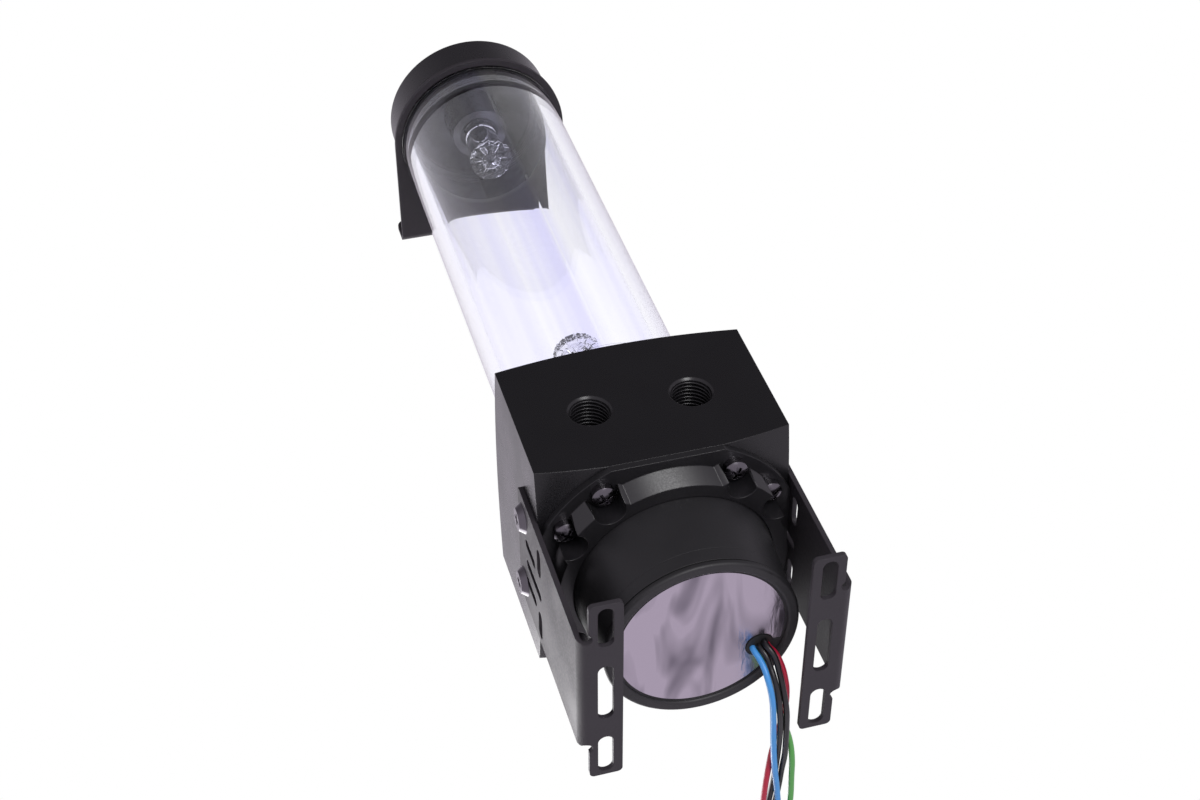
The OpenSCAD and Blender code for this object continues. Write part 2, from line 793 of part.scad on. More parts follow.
// One foot for the +Y side: an upright plate, a bend, and a slotted strip to stand on
module foot() {
    color("dimgray")
        difference() {
            union() {
                translate([0, half_w + sheet_t, 0])
                    rotate([90, 0, 0]) linear_extrude(sheet_t) upright_shape();
                translate([0, bend_y, bend_out_r])
                    rotate([0, 90, 0]) rotate([0, 0, 90])
                        linear_extrude(2 * foot_half, center = true) mirror([1, 0]) bend_shape();
                linear_extrude(sheet_t)
                    difference() {
                        round_rectangle([-strip_half, strip_in], [strip_half, bend_y], strip_corner_r);
                        translate([0, slot_y]) slot_shape(slot_mid_l, slot_w);
                        for (side = [-1, 1])
                            translate([side * slot_x, slot_y]) slot_shape(slot_end_l, slot_w);
                    }
            }
            for (side = [-1, 1])
                translate([side * relief_x, bend_y + 0.8, -cut]) cylinder(r = relief_r, h = 5);
        }
}

module upright_shape() {
    difference() {
        union() {
            round_rectangle([-foot_half, bend_out_r], [foot_half, foot_top], strip_corner_r);
            translate([-foot_half, bend_out_r]) square([2 * foot_half, 10]);
        }
        for (s = slits)
            translate([s[0], (s[1] + s[2]) / 2]) rotate(90) slot_shape(s[2] - s[1], slit_w);
        for (s = level_slots)
            translate([(s[0] + s[1]) / 2, s[2]]) slot_shape(s[1] - s[0], level_slot_w);
        for (x = [-foot_screw_x, foot_screw_x])
            translate([x, foot_screw_z]) circle(r = foot_screw_r);
    }
}

module right_foot() {
    foot();
}

module left_foot() {
    mirror([0, 1, 0]) foot();
}

module foot_screws() {
    color("silver")
        for (side = [-1, 1], x = [-foot_screw_x, foot_screw_x])
            translate([x, side * (half_w + sheet_t), foot_screw_z])
                rotate([side * 90, 0, 0])
                    difference() {
                        union() {
                            cylinder(r = foot_screw_r, h = foot_screw_l);
                            translate([0, 0, -foot_head_h])
                                cylinder(r1 = foot_head_r - 1.4, r2 = foot_head_r, h = foot_head_h);
                        }
                        translate([0, 0, -foot_head_h]) cross_recess();
                    }
}

// The eight corners of a lead's section at one point of its route
function lead_ring(route, i, across) =
    let (
        before = route[max(i - 1, 0)],
        after = route[min(i + 1, len(route) - 1)],
        along = (after - before) / norm(after - before),
        side = cross(along, across) / norm(cross(along, across)),
        up = cross(side, along)
    )
    [for (k = [0:lead_sides - 1])
        route[i] + lead_r * (cos(k * 360 / lead_sides) * side + sin(k * 360 / lead_sides) * up)];

// A plain round tube along a route. across is a direction the route never runs in.
module lead_tube(route, across) {
    rings = len(route);
    corners = [for (i = [0:rings - 1]) each lead_ring(route, i, across)];
    walls = [for (i = [0:rings - 2], k = [0:lead_sides - 1])
        let (n = (k + 1) % lead_sides, a = i * lead_sides, b = a + lead_sides)
        [a + k, b + k, b + n, a + n]];
    last = (rings - 1) * lead_sides;
    ends = [
        [for (k = [0:lead_sides - 1]) k],
        [for (k = [lead_sides - 1:-1:0]) last + k]
    ];
    polyhedron(points = corners, faces = concat(walls, ends));
}

// The stretch of a lead from its coil to its plug, which side (+1 or -1) of the coil it runs to
function tail_route(coil_y, level, plug_x, plug_y, plug_z) =
    let (x = coil_x - coil_r, z = level * coil_step + coil_end_z, run = plug_y - coil_y)
    [
        [x, coil_y, z],
        [x, coil_y + run * 0.25, z - 0.2],
        [(x + plug_x) / 2, coil_y + run * 0.6, (z + plug_z) / 2],
        [plug_x, coil_y + run * 0.9, plug_z],
        [plug_x, plug_y, plug_z]
    ];

module lead(route, coil_y, level, plug_x, plug_y, plug_z) {
    lead_tube(route, [0, 1, 0]);
    lead_tube(tail_route(coil_y, level, plug_x, plug_y, plug_z), [0, 0, 1]);
}

// One lead's wound-up turns, stacked on each other. The coils of one plug's leads lie one above the next.
module lead_coil(coil_y, level) {
    translate([coil_x, coil_y, level * coil_step])
        rotate_extrude() {
            translate([coil_r - lead_r, lead_r]) square([lead_d, coil_h - lead_d]);
            for (z = [lead_r, coil_h - lead_r])
                translate([coil_r, z]) circle(r = lead_r, $fn = 24);
        }
}

module lead_red() {
    color("crimson")
        lead(red_route, power_coil_y, 0, power_plug_x + power_pin_pitch / 2, power_plug_y,
            power_plug_size[2] / 2);
}

module lead_power_black() {
    color("black")
        lead(power_black_route, power_coil_y, 1,
            power_plug_x - power_pin_pitch / 2, power_plug_y, power_plug_size[2] / 2);
}

module lead_signal_black() {
    color("black")
        lead(signal_black_route, signal_coil_y, 2,
            signal_plug_x - signal_pin_pitch * 1.5, signal_plug_y, signal_plug_size[2] / 2);
}

module lead_blue() {
    color("deepskyblue")
        lead(blue_route, signal_coil_y, 1,
            signal_plug_x - signal_pin_pitch / 2, signal_plug_y, signal_plug_size[2] / 2);
}

module lead_green() {
    color("limegreen")
        lead(green_route, signal_coil_y, 0,
            signal_plug_x + signal_pin_pitch / 2, signal_plug_y, signal_plug_size[2] / 2);
}

module coil_red() {
    color("crimson") lead_coil(power_coil_y, 0);
}

module coil_power_black() {
    color("black") lead_coil(power_coil_y, 1);
}

module coil_signal_black() {
    color("black") lead_coil(signal_coil_y, 2);
}

module coil_blue() {
    color("deepskyblue") lead_coil(signal_coil_y, 1);
}

module coil_green() {
    color("limegreen") lead_coil(signal_coil_y, 0);
}

// Four-way supply plug: its wires enter on the +Y face and its pins stand out of the -Y face
module power_plug() {
    color("white")
        translate([power_plug_x - power_plug_size[0] / 2, power_plug_y - power_plug_size[1], 0])
            difference() {
                cube(power_plug_size);
                translate([1, -cut, 1])
                    cube([power_plug_size[0] - 2, power_pin_out + cut, power_plug_size[2] - 2]);
            }
}

module power_pins() {
    color("silver")
        for (place = [-1.5:1.5])
            translate([power_plug_x + place * power_pin_pitch, power_plug_y - power_plug_size[1] + 0.8,
                power_plug_size[2] / 2])
                rotate([-90, 0, 0]) cylinder(r = power_pin_r, h = power_pin_out - 0.8);
}

// Four-way fan plug with one square socket to each lead, open on the +Y face
module signal_plug() {
    color("white")
        translate([signal_plug_x - signal_plug_size[0] / 2, signal_plug_y, 0])
            difference() {
                cube(signal_plug_size);
                for (place = [0:3])
                    translate([
                        signal_plug_size[0] / 2 + (place - 1.5) * signal_pin_pitch - 0.7,
                        signal_plug_size[1] - 8, signal_plug_size[2] / 2 - 0.7
                    ])
                        cube([1.4, 8 + cut, 1.4]);
            }
}

pump_top();
reservoir_tube();
lower_tube_seal();
riser_nozzle();
top_bracket();
top_cap();
upper_tube_seal();
cap_nozzle();
fill_plug();
fill_plug_seal();
clamp_ring();
clamp_screws();
pump_can();
bottom_cover();
foil_label();
pump_seal();
separation_cup();
bearing_ball();
rotor();
impeller();
stator_core();
stator_coils();
circuit_board();
lead_grommet();
left_foot();
right_foot();
foot_screws();
lead_red();
lead_power_black();
lead_signal_black();
lead_blue();
lead_green();
coil_red();
coil_power_black();
coil_signal_black();
coil_blue();
coil_green();
power_plug();
power_pins();
signal_plug();
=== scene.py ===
# Coolant pump with a clear tube reservoir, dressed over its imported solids.
import math

import bpy
from mathutils import Matrix, Vector


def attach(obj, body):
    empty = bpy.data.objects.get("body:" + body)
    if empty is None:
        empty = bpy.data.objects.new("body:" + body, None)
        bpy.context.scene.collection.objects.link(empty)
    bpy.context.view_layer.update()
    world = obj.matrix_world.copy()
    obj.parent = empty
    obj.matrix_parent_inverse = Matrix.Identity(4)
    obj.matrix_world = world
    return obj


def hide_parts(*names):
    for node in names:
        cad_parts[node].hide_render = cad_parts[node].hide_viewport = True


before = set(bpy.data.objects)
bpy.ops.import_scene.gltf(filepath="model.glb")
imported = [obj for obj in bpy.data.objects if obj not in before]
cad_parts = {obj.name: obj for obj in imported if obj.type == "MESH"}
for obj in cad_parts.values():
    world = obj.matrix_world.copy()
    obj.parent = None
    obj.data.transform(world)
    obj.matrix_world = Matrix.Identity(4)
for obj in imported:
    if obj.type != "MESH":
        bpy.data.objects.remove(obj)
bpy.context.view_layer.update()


# ---------------------------------------------------------------- Camera
# A long-lens view from below the pump end, looking up along the tube to the cap.
# The unit stands on Z = 0, so the camera is under the face that the feet stand on.
camera_data = bpy.data.cameras.new("studio_camera")
camera_data.sensor_width = 36.0
camera_data.lens = 59.715
camera_data.clip_start = 0.01
camera_data.clip_end = 20
camera = bpy.data.objects.new("studio_camera", camera_data)
bpy.context.scene.collection.objects.link(camera)
camera_right = Vector((-0.001808, 0.961231, -0.275740))
camera_up = Vector((0.762974, 0.179572, 0.620987))
camera_back = Vector((0.646427, -0.209260, -0.733718))
camera.matrix_world = Matrix((
    (camera_right.x, camera_up.x, camera_back.x, 0.408617),
    (camera_right.y, camera_up.y, camera_back.y, -0.131328),
    (camera_right.z, camera_up.z, camera_back.z, -0.345513),
    (0, 0, 0, 1),
))
bpy.context.scene.camera = camera
bpy.context.scene.view_settings.view_transform = "Standard"


# ---------------------------------------------------------------- Leads
# Five thin hook-up wires: PVC over stranded copper, 1.8 mm across, moulded into the pump's grommet.
# Red and one black go to the supply plug; black, blue and green go to the fan plug.
# The spare length is wound up.
def linear(hex_colour):
    """An sRGB hex colour as linear RGBA."""
    channels = [int(hex_colour[i:i + 2], 16) / 255 for i in (1, 3, 5)]
    return tuple(c / 12.92 if c <= 0.04045 else ((c + 0.055) / 1.055) ** 2.4 for c in channels) + (1.0,)


def add(tree, kind, settings=None, **links):
    """Adds a node: settings are its properties or input values, links are input name -> output socket."""
    node = tree.nodes.new(kind)
    for name, value in (settings or {}).items():
        if isinstance(name, int) or name in node.inputs:
            node.inputs[name].default_value = value
        else:
            setattr(node, name, value)
    for name, socket in links.items():
        key = int(name[1:]) if name[0] == "_" and name[1:].isdigit() else name.replace("_", " ")
        tree.links.new(socket, node.inputs[key])
    return node


def new_material(name, colour, roughness, **sockets):
    """A material with its Principled shader set to constants, returned with its tree and shader."""
    material = bpy.data.materials.new(name)
    material.use_nodes = True
    tree = material.node_tree
    shader = tree.nodes["Principled BSDF"]
    shader.inputs["Base Color"].default_value = linear(colour)
    shader.inputs["Roughness"].default_value = roughness
    for socket, value in sockets.items():
        shader.inputs[socket.replace("_", " ")].default_value = value
    return material, tree, shader


def dress(material, *nodes):
    """Gives a material to CAD nodes or pieces."""
    for item in nodes:
        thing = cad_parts[item] if isinstance(item, str) else item
        thing.data.materials.clear()
        thing.data.materials.append(material)


def pvc_insulation(name, colour):
    """Extruded PVC: smooth with a soft gloss, and a faint waviness from the strands under it."""
    material, tree, shader = new_material(name, colour, 0.32, IOR=1.53)
    place = add(tree, "ShaderNodeTexCoord")
    grain = add(tree, "ShaderNodeTexNoise", {"Scale": 900, "Detail": 2}, Vector=place.outputs["Object"])
    shade = add(tree, "ShaderNodeMapRange", {"To Min": 0.28, "To Max": 0.38}, Value=grain.outputs["Fac"])
    tree.links.new(shade.outputs["Result"], shader.inputs["Roughness"])
    bump = add(tree, "ShaderNodeBump", {"Strength": 0.12, "Distance": 0.0001}, Height=grain.outputs["Fac"])
    tree.links.new(bump.outputs["Normal"], shader.inputs["Normal"])
    return material


LEAD_D = 0.0018
POINTS_PER_TURN = 16
COIL_X, COIL_R, COIL_STEP = -0.105, 0.014, 0.0058
COIL_TURNS = 2.25
TURN_START_Z, TURN_END_Z = 0.00105, 0.0048
leads = {
    "red": {
        "colour": "#B81C3C", "coil_y": 0.0045, "way": 1, "level": 0, "end": (-113.46, -12, 4.5),
        "plug": ["power_plug", "power_pins"],
        "route": [
            (-8.2, 19.6, 11.9), (-8.2, 19.6, 10.9), (-9.4, 21, 9.3), (-12, 22.2, 7.2), (-17, 23.2, 5.2),
            (-23.3, 23.8, 4.8), (-29.8, 23.6, 4.9), (-36.2, 22.6, 4.9), (-41.6, 21.7, 4.8),
            (-47.4, 20.3, 4.1), (-53, 18.9, 2.4), (-60, 17.8, 1.1), (-70, 17.6, 1.1), (-86, 18.1, 1.05)],
    },
    "power_black": {
        "colour": "#141316", "coil_y": 0.0045, "way": 1, "level": 1, "end": (-118.54, -12, 4.5),
        "plug": ["power_plug", "power_pins"],
        "route": [
            (-7.9, 17.1, 11.9), (-7.9, 17.1, 10.9), (-9.1, 18.1, 8.4), (-11.8, 18.8, 6.2), (-14.4, 19.2, 3.6),
            (-19, 19.8, 1.6), (-25, 20.5, 1.1), (-32, 21.1, 1.1), (-39, 21.4, 1.7), (-46, 21.7, 2.7),
            (-55, 21.4, 3), (-64, 20.5, 2.8), (-74, 19.4, 3.2), (-84, 18.7, 5.4), (-95, 18.5, 6.85)],
    },
    "signal_black": {
        "colour": "#141316", "coil_y": 0.0365, "way": -1, "level": 2, "end": (-120.81, 51.5, 2.9),
        "plug": ["signal_plug"],
        "route": [
            (-6.4, 18.6, 11.9), (-6.4, 18.6, 10), (-8.2, 20, 7.4), (-13, 21, 4.8), (-18.8, 21.7, 2.2),
            (-25, 22.5, 1.1), (-32, 23, 1.1), (-39, 23.2, 1.1), (-46, 23.4, 1.5), (-54, 23.4, 2.8),
            (-62, 22.9, 2.9), (-70, 22.1, 3.2), (-77, 21.8, 5.4), (-84, 21.9, 9), (-91, 22.3, 12),
            (-97, 22.5, 12.65)],
    },
    "blue": {
        "colour": "#4A9CE8", "coil_y": 0.0365, "way": -1, "level": 1, "end": (-118.27, 51.5, 2.9),
        "plug": ["signal_plug"],
        "route": [
            (-8.4, 15.2, 11.9), (-8.4, 15.2, 10.9), (-9.4, 16, 8.4), (-11, 16.7, 5.6), (-13.8, 17.1, 2.8),
            (-18.6, 17.8, 1.15), (-27.4, 18.7, 1.1), (-38.8, 19.4, 1.1), (-50, 20.4, 1.1), (-62, 21.9, 1.1),
            (-74, 22.9, 1.15), (-82, 22.9, 2.6), (-90, 22.6, 5.8), (-97, 22.5, 6.85)],
    },
    "green": {
        "colour": "#58A850", "coil_y": 0.0365, "way": -1, "level": 0, "end": (-115.73, 51.5, 2.9),
        "plug": ["signal_plug"],
        "route": [
            (-10, 17.6, 11.9), (-10, 17.6, 10.9), (-12, 17.9, 8.6), (-15.2, 18.4, 6.2), (-20, 19.2, 4),
            (-27, 21, 2.9), (-34, 23.1, 3), (-40.5, 24.9, 2.4), (-47, 25.6, 1.2), (-56, 26, 1.1),
            (-66, 26.3, 1.05), (-76, 25.9, 1.05), (-86, 24.4, 1.05), (-96, 22.9, 1.05)],
    },
}
for lead_name, lead in leads.items():
    path = [Vector(p) / 1000 for p in lead["route"]]
    base_z = lead["level"] * COIL_STEP
    for step in range(round(COIL_TURNS * POINTS_PER_TURN) + 1):
        turn = step / POINTS_PER_TURN
        angle = lead["way"] * 2 * math.pi * (0.25 + turn)
        path.append(Vector((
            COIL_X + COIL_R * math.cos(angle), lead["coil_y"] + COIL_R * math.sin(angle),
            base_z + TURN_START_Z + (TURN_END_Z - TURN_START_Z) * turn / COIL_TURNS)))
    end = Vector(lead["end"]) / 1000
    last = path[-1].copy()
    run = end.y - lead["coil_y"]
    path += [
        Vector((last.x, lead["coil_y"] + run * 0.25, last.z - 0.0002)),
        Vector(((last.x + end.x) / 2, lead["coil_y"] + run * 0.6, (last.z + end.z) / 2)),
        Vector((end.x, lead["coil_y"] + run * 0.9, end.z)),
        end,
    ]
    curve = bpy.data.curves.new("lead_wire_" + lead_name, "CURVE")
    curve.dimensions = "3D"
    curve.bevel_depth = LEAD_D / 2
    curve.bevel_resolution = 4
    curve.resolution_u = 5
    curve.use_fill_caps = True
    spline = curve.splines.new("BEZIER")
    spline.bezier_points.add(len(path) - 1)
    for point, place in zip(spline.bezier_points, path):
        point.co = place
        point.handle_left_type = point.handle_right_type = "AUTO"
    wire = bpy.data.objects.new("wire_" + lead_name, curve)
    bpy.context.scene.collection.objects.link(wire)
    dress(pvc_insulation("pvc_wire_" + lead_name, lead["colour"]), wire)
    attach(wire, "base")
    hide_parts("lead_" + lead_name, "coil_" + lead_name)
    bpy.context.view_layer.update()


# ---------------------------------------------------------------- Floor and light
# A white sweep under the unit, a pale lilac tent round it, and two softboxes.
# Seen from underneath the sweep is open, so the unit can be looked at from below.
floor_mesh = bpy.data.meshes.new("studio_floor")
floor_mesh.from_pydata([(-3, -3, 0), (3, -3, 0), (3, 3, 0), (-3, 3, 0)], [], [(0, 1, 2, 3)])
floor = bpy.data.objects.new("studio_floor", floor_mesh)
floor.location.z = -0.0002
bpy.context.scene.collection.objects.link(floor)
sweep, tree, shader = new_material("white_paper_sweep", "#F4F4F4", 0.9)
rays = add(tree, "ShaderNodeLightPath")
side = add(tree, "ShaderNodeNewGeometry")
seen = add(tree, "ShaderNodeMath", {"operation": "MAXIMUM"},
           _0=rays.outputs["Is Camera Ray"], _1=rays.outputs["Is Transmission Ray"])
above = add(tree, "ShaderNodeMath", {"operation": "SUBTRACT", 0: 1.0}, _1=side.outputs["Backfacing"])
shown = add(tree, "ShaderNodeMath", {"operation": "MULTIPLY"}, _0=seen.outputs[0], _1=above.outputs[0])
glow = add(tree, "ShaderNodeEmission", {"Strength": 0.35})
lit = add(tree, "ShaderNodeAddShader", _0=shader.outputs[0], _1=glow.outputs[0])
clear = add(tree, "ShaderNodeBsdfTransparent")
blend = add(tree, "ShaderNodeMixShader", _0=shown.outputs[0], _1=clear.outputs[0], _2=lit.outputs[0])
tree.links.new(blend.outputs[0], tree.nodes["Material Output"].inputs["Surface"])
dress(sweep, floor)

world = bpy.data.worlds.new("light_tent")
bpy.context.scene.world = world
world.use_nodes = True
tree = world.node_tree
tree.nodes.clear()
rays = add(tree, "ShaderNodeLightPath")
place = add(tree, "ShaderNodeTexCoord")
direction = add(tree, "ShaderNodeVectorMath", {"operation": "DOT_PRODUCT", 1: (0.66, 0.10, 0.74)},
                _0=place.outputs["Generated"])
# The tent is open, so darker, over the port side's upper front.
dim = add(tree, "ShaderNodeMapRange", {"From Min": 0.2, "From Max": 0.95, "To Min": 0.78, "To Max": 0.13},
          Value=direction.outputs["Value"])
tent = add(tree, "ShaderNodeBackground", {"Color": linear("#F6EEFB")}, Strength=dim.outputs["Result"])
plain = add(tree, "ShaderNodeBackground", {"Color": (1, 1, 1, 1), "Strength": 0.5})
white = add(tree, "ShaderNodeBackground", {"Color": (1, 1, 1, 1), "Strength": 1.0})
through = add(tree, "ShaderNodeBackground", {"Color": linear("#FBFBFF"), "Strength": 1.12})
glossy = add(tree, "ShaderNodeMixShader", _0=rays.outputs["Is Glossy Ray"], _1=plain.outputs[0],
             _2=tent.outputs[0])
passed = add(tree, "ShaderNodeMixShader", _0=rays.outputs["Is Transmission Ray"], _1=glossy.outputs[0],
             _2=through.outputs[0])
seen = add(tree, "ShaderNodeMixShader", _0=rays.outputs["Is Camera Ray"], _1=passed.outputs[0],
           _2=white.outputs[0])
add(tree, "ShaderNodeOutputWorld", Surface=seen.outputs[0])

for name, place, energy, size in (
    ("front_softbox", (0.80, 0.16, -0.52), 4.5, 0.42),
    ("back_softbox", (-0.7, -0.3, 0.25), 5, 0.7),
):
    lamp_data = bpy.data.lights.new(name, "AREA")
    lamp_data.energy = energy
    lamp_data.size = size
    lamp = bpy.data.objects.new(name, lamp_data)
    lamp.location = place
    lamp.rotation_euler = (Vector((0, 0, 0.06)) - Vector(place)).to_track_quat("-Z", "Y").to_euler()
    bpy.context.scene.collection.objects.link(lamp)

# A black flag behind the pump, met only by glossy rays: it keeps the inner face of the right foot dark.
flag_mesh = bpy.data.meshes.new("studio_flag")
flag_mesh.from_pydata([(-0.056, -0.012, 0.012), (-0.056, 0.0362, 0.012), (-0.056, 0.0362, 0.25),
                       (-0.056, -0.012, 0.25)], [], [(0, 1, 2, 3)])
flag = bpy.data.objects.new("studio_flag", flag_mesh)
bpy.context.scene.collection.objects.link(flag)
for way in ("camera", "diffuse", "transmission", "volume_scatter", "shadow"):
    setattr(flag, "visible_" + way, False)
black_felt = new_material("black_felt", "#050505", 0.95)[0]
dress(black_felt, flag)


# ---------------------------------------------------------------- Pump top
# A block milled from black acetal: fine satin faces, and edges broken by a light chamfer.
# Its ports get thread ridges; the socket for the tube, threaded too, gets none here.
def fine_grain(tree, shader, scale_mm, depth_mm, rough, strength=0.25, edge_mm=0.0):
    """Bump and roughness variation whose grains are scale_mm across, over edges rounded by edge_mm."""
    place = add(tree, "ShaderNodeTexCoord")
    grain = add(tree, "ShaderNodeTexNoise", {"Scale": 1000 / scale_mm, "Detail": 3, "Roughness": 0.6},
                Vector=place.outputs["Object"])
    cloud = add(tree, "ShaderNodeTexNoise", {"Scale": 60, "Detail": 2}, Vector=place.outputs["Object"])
    both = add(tree, "ShaderNodeMath", {"operation": "MULTIPLY"}, _0=grain.outputs["Fac"],
               _1=cloud.outputs["Fac"])
    shade = add(tree, "ShaderNodeMapRange",
                {"From Min": 0.15, "From Max": 0.4, "To Min": rough[0], "To Max": rough[1]},
                Value=both.outputs[0])
    tree.links.new(shade.outputs["Result"], shader.inputs["Roughness"])
    bump = add(tree, "ShaderNodeBump", {"Strength": strength, "Distance": depth_mm / 1000},
               Height=grain.outputs["Fac"])
    if edge_mm:
        bevel = add(tree, "ShaderNodeBevel", {"Radius": edge_mm / 1000})
        bevel.samples = 6
        tree.links.new(bevel.outputs["Normal"], bump.inputs["Normal"])
    tree.links.new(bump.outputs["Normal"], shader.inputs["Normal"])
    return bump


acetal, tree, shader = new_material("milled_black_acetal", "#161518", 0.3, IOR=1.48)
fine_grain(tree, shader, 0.5, 0.02, (0.24, 0.36), 0.2, 0.45)
dress(acetal, "pump_top")
RIDGE_POINTS = 36


def thread(name, body, centre, axis, radius, pitch_mm, turns, start, material):
    """A screw thread's ridge, wound on the inside of a bore along an axis, that rides on a body."""
    curve = bpy.data.curves.new(name, "CURVE")
    curve.dimensions = "3D"
    curve.bevel_depth = 0.28 * pitch_mm / 1000
    curve.bevel_resolution = 1
    spline = curve.splines.new("POLY")
    steps = round(turns * RIDGE_POINTS)
    spline.points.add(steps)
    turn_to = Vector(axis).to_track_quat("Z", "Y")
    for step, point in enumerate(spline.points):
        angle = step * 2 * math.pi / RIDGE_POINTS
        along = start + pitch_mm / 1000 * step / RIDGE_POINTS
        place = turn_to @ Vector((radius * math.cos(angle), radius * math.sin(angle), along)) + Vector(centre)
        point.co = (*place, 1)
    ridge = bpy.data.objects.new(name, curve)
    bpy.context.scene.collection.objects.link(ridge)
    dress(material, ridge)
    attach(ridge, body)
    return ridge


PORT_Y, PORT_Z, BLOCK_FRONT_X = 0.0153, 0.072, 0.0375
FIRST_RIDGE_DEPTH, PORT_RIDGES = 0.0011, 8
RIDGE_R, G_QUARTER_PITCH_MM = 0.0058, 1.337
for side, port in ((-1, "outlet"), (1, "inlet")):
    ridge = thread(port + "_port_thread", "base", (BLOCK_FRONT_X, side * PORT_Y, PORT_Z), (-1, 0, 0), RIDGE_R,
                   G_QUARTER_PITCH_MM, PORT_RIDGES, FIRST_RIDGE_DEPTH, acetal)


# ---------------------------------------------------------------- Cap
# The same black acetal, turned: a fine grain on its faces, and on the turned ceiling soft painted highlight
# streaks in the base colour, standing in for the sheen of its turning marks.
# The bore above the tube still shows the ridges of its screw thread.
CEILING_Z, BORE_R = 0.2915, 0.0252
turned, tree, shader = new_material("turned_black_acetal", "#262428", 0.3, IOR=1.48)
fine_grain(tree, shader, 0.5, 0.02, (0.24, 0.36), 0.2, 0.3)
place = add(tree, "ShaderNodeTexCoord")
split = add(tree, "ShaderNodeSeparateXYZ", Vector=place.outputs["Object"])
angle = add(tree, "ShaderNodeMath", {"operation": "ARCTAN2"}, _0=split.outputs["Y"], _1=split.outputs["X"])
# Painted highlight: light and dark wedges round the axis, put into the ceiling's colour, stand in for the
# reflected sheen of the turned face.
painted_highlight_wedge = add(tree, "ShaderNodeTexNoise", {"noise_dimensions": "1D", "Scale": 0.75, "Detail": 1},
            W=angle.outputs[0])
painted_highlight_streak = add(tree, "ShaderNodeValToRGB", Fac=painted_highlight_wedge.outputs["Fac"])
painted_highlight_streak.color_ramp.elements[0].position = 0.38
painted_highlight_streak.color_ramp.elements[0].color = linear("#2A292C")
painted_highlight_streak.color_ramp.elements[1].position = 0.66
painted_highlight_streak.color_ramp.elements[1].color = linear("#6E6D73")
height = add(tree, "ShaderNodeMath", {"operation": "LESS_THAN", 1: CEILING_Z}, _0=split.outputs["Z"])
radius = add(tree, "ShaderNodeVectorMath", {"operation": "LENGTH"},
             _0=add(tree, "ShaderNodeCombineXYZ", X=split.outputs["X"], Y=split.outputs["Y"]).outputs[0])
inside = add(tree, "ShaderNodeMath", {"operation": "LESS_THAN", 1: BORE_R}, _0=radius.outputs["Value"])
painted_highlight_area = add(tree, "ShaderNodeMath", {"operation": "MULTIPLY"}, _0=height.outputs[0], _1=inside.outputs[0])
# Only the ceiling inside the bore gets the painted highlight streaks; the rest keeps the plain acetal colour.
painted_reflection_tone = add(tree, "ShaderNodeMixRGB", {"Color1": linear("#262428")}, Fac=painted_highlight_area.outputs[0],
           Color2=painted_highlight_streak.outputs["Color"])
tree.links.new(painted_reflection_tone.outputs[0], shader.inputs["Base Color"])
dress(turned, "top_cap")
ridge = thread("cap_bore_thread", "cap", (0, 0, 0.2812), (0, 0, 1), 0.0249, 1.3, 5, 0, turned)


# ---------------------------------------------------------------- Reservoir tube and nozzles
# Cast acrylic tube, 60 mm outside and 50 mm inside. The seat of each socket is pressed on the black spigot,
# so it shows black and not as a mirror. The nozzles are moulded in the same clear plastic.
acrylic, tree, shader = new_material("polished_clear_acrylic", "#FBFAFF", 0.0, IOR=1.49,
                                     Transmission_Weight=1.0)
place = add(tree, "ShaderNodeTexCoord")
split = add(tree, "ShaderNodeSeparateXYZ", Vector=place.outputs["Object"])
angle = add(tree, "ShaderNodeMath", {"operation": "ARCTAN2"}, _0=split.outputs["Y"], _1=split.outputs["X"])
bands = add(tree, "ShaderNodeTexNoise", {"noise_dimensions": "1D", "Scale": 2.2, "Detail": 2},
            W=angle.outputs[0])
tint = add(tree, "ShaderNodeValToRGB", Fac=bands.outputs["Fac"])
tint.color_ramp.elements[0].position = 0.35
tint.color_ramp.elements[0].color = linear("#F1F0FF")
tint.color_ramp.elements[1].position = 0.65
tint.color_ramp.elements[1].color = linear("#FFFFFF")
tree.links.new(tint.outputs["Color"], shader.inputs["Base Color"])
black = add(tree, "ShaderNodeBsdfPrincipled", {"Base Color": linear("#1A191C"), "Roughness": 0.4})
SEAT_LEVELS, SEAT_BAND = (0.2694, 0.1088), 0.00004
seats = []
for level in SEAT_LEVELS:
    seats.append(add(tree, "ShaderNodeMath", {"operation": "COMPARE", 1: level, 2: SEAT_BAND},
                     _0=split.outputs["Z"]))
seat = add(tree, "ShaderNodeMath", {"operation": "ADD"}, _0=seats[0].outputs[0], _1=seats[1].outputs[0])
mixed = add(tree, "ShaderNodeMixShader", _0=seat.outputs[0], _1=shader.outputs[0], _2=black.outputs[0])
tree.links.new(mixed.outputs[0], tree.nodes["Material Output"].inputs["Surface"])
dress(acrylic, "reservoir_tube")
moulded = new_material("moulded_clear_acrylic", "#F4F4F8", 0.03, IOR=1.49, Transmission_Weight=1.0)[0]
dress(moulded, "cap_nozzle", "riser_nozzle")


# ---------------------------------------------------------------- Folded sheet: feet and upper bracket
# Steel sheet, 1.5 mm, punched, folded and powder coated black: a fine orange peel with a soft sheen.
powder, tree, shader = new_material("black_powder_coated_steel", "#363238", 0.52, IOR=1.5,
                                    Specular_IOR_Level=0.3)
fine_grain(tree, shader, 0.7, 0.04, (0.46, 0.6), 0.3, 0.4)
dress(powder, "left_foot", "right_foot", "top_bracket")


